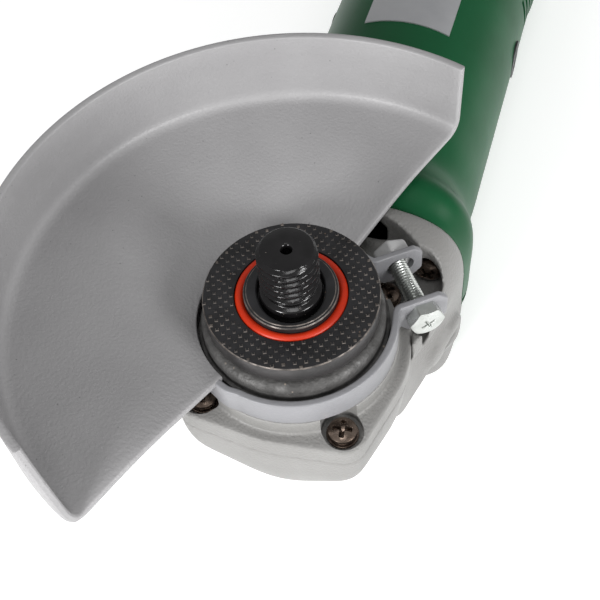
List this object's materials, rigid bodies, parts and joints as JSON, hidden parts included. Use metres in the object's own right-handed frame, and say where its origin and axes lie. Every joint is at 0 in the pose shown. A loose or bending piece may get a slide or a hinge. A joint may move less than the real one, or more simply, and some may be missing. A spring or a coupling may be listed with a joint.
{
  "type": "angle grinder",
  "caption": "Compact angle grinder on its back: cast gear head, threaded spindle with wheel flange, half guard on a clamp band, and a slim motor body.",
  "frame": {"origin": "on the spindle axis in the face of the wheel flange that the wheel sits on", "axes": "+Z along the spindle towards its free end, +Y along the motor axis towards the rear grip, +X to the right of these"},
  "size_m": [0.1071, 0.3055, 0.0946],
  "materials": {
    "cast_grey": "die-cast, light grey stove enamel, slightly textured",
    "screw_bronze": "dark bronze plated screw steel",
    "steel": "ground bearing steel",
    "felt": "pressed felt",
    "black_rubber": "matt",
    "green_plastic": "dark green glass-filled nylon, semi-gloss",
    "black_plastic": "moulded",
    "lamination": "stacked sheet steel",
    "copper": "enamelled copper",
    "brass": "drawn",
    "carbon": "pressed carbon",
    "label_grey": "blank anodised plate",
    "spindle_black": "black oxide, oiled",
    "flange_black": "black oxide, knurled face",
    "orange_rubber": "satin orange-red",
    "guard_grey": "silver-grey powder coat",
    "zinc": "bright zinc plate",
    "nut_grey": "grey painted"
  },
  "bodies": {
    "root": {"gear_case": "cast_grey", "packing_gland": "cast_grey", "gland_screws": "screw_bronze", "gland_screw_washers": "screw_bronze", "bearing_retainer": "steel", "bearing_retainer_screws": "steel", "spindle_bearing_outer": "steel", "spindle_bearing_balls": "steel", "dust_seal": "felt", "needle_bearing": "steel", "front_bearing_outer": "steel", "front_bearing_balls": "steel", "rear_bearing_outer": "steel", "rear_bearing_balls": "steel", "rear_bearing_sleeve": "black_rubber", "housing_screws": "screw_bronze", "housing_screw_washers": "screw_bronze", "motor_housing": "green_plastic", "fan_baffle": "black_plastic", "front_bearing_plate": "steel", "stator_core": "lamination", "field_coils": "copper", "stator_screws": "steel", "rear_cover": "green_plastic", "rear_cover_screws": "steel", "brush_holders": "brass", "carbon_brushes": "carbon", "brush_springs": "steel", "brush_caps": "black_plastic", "switch_body": "black_plastic", "capacitor": "black_plastic", "terminal_block": "black_plastic", "cord_inlet_bush": "black_rubber", "nameplate": "label_grey"},
    "spindle": {"spindle": "spindle_black", "ring_gear": "steel", "gear_retaining_ring": "steel", "spindle_bearing_inner": "steel", "wheel_flange": "flange_black", "flange_o_ring": "orange_rubber"},
    "armature": {"armature_shaft": "steel", "armature_core": "lamination", "armature_windings": "copper", "commutator": "copper", "fan": "black_plastic", "pinion": "steel", "pinion_nut": "steel", "front_bearing_inner": "steel", "rear_bearing_inner": "steel"},
    "guard": {"guard_shell": "guard_grey", "guard_band": "guard_grey", "clamp_bolt": "zinc", "clamp_nut": "nut_grey"},
    "switch": {"switch_knob": "black_plastic", "switch_lever": "black_plastic"},
    "lock": {"lock_button": "black_plastic", "lock_pin": "steel", "lock_spring": "steel"}
  },
  "joints": [
    {"name": "armature_spin", "type": "hinge", "parent": "root", "child": "armature", "pos_m": [0, 0.1, -0.045], "axis": [0, 1, 0], "continuous": true},
    {"name": "spindle_spin", "type": "hinge", "parent": "root", "child": "spindle", "pos_m": [0, 0, 0], "axis": [0, 0, 1], "continuous": true},
    {"name": "guard_swivel", "type": "hinge", "parent": "root", "child": "guard", "pos_m": [0, 0, 0], "axis": [0, 0, 1], "range_deg": [-100, 100]},
    {"name": "switch_slide", "type": "slide", "parent": "root", "child": "switch", "axis": [0, -1, 0], "range_m": [0, 0.008]},
    {"name": "lock_press", "type": "slide", "parent": "root", "child": "lock", "axis": [0, 0, 1], "range_m": [0, 0.004], "stiffness_N_per_m": 600, "springref_m": -0.001, "deforming": ["lock_spring"]}
  ],
  "couplings": [
    {"joint": "spindle_spin", "follows": "armature_spin", "ratio": -0.33333}
  ]
}
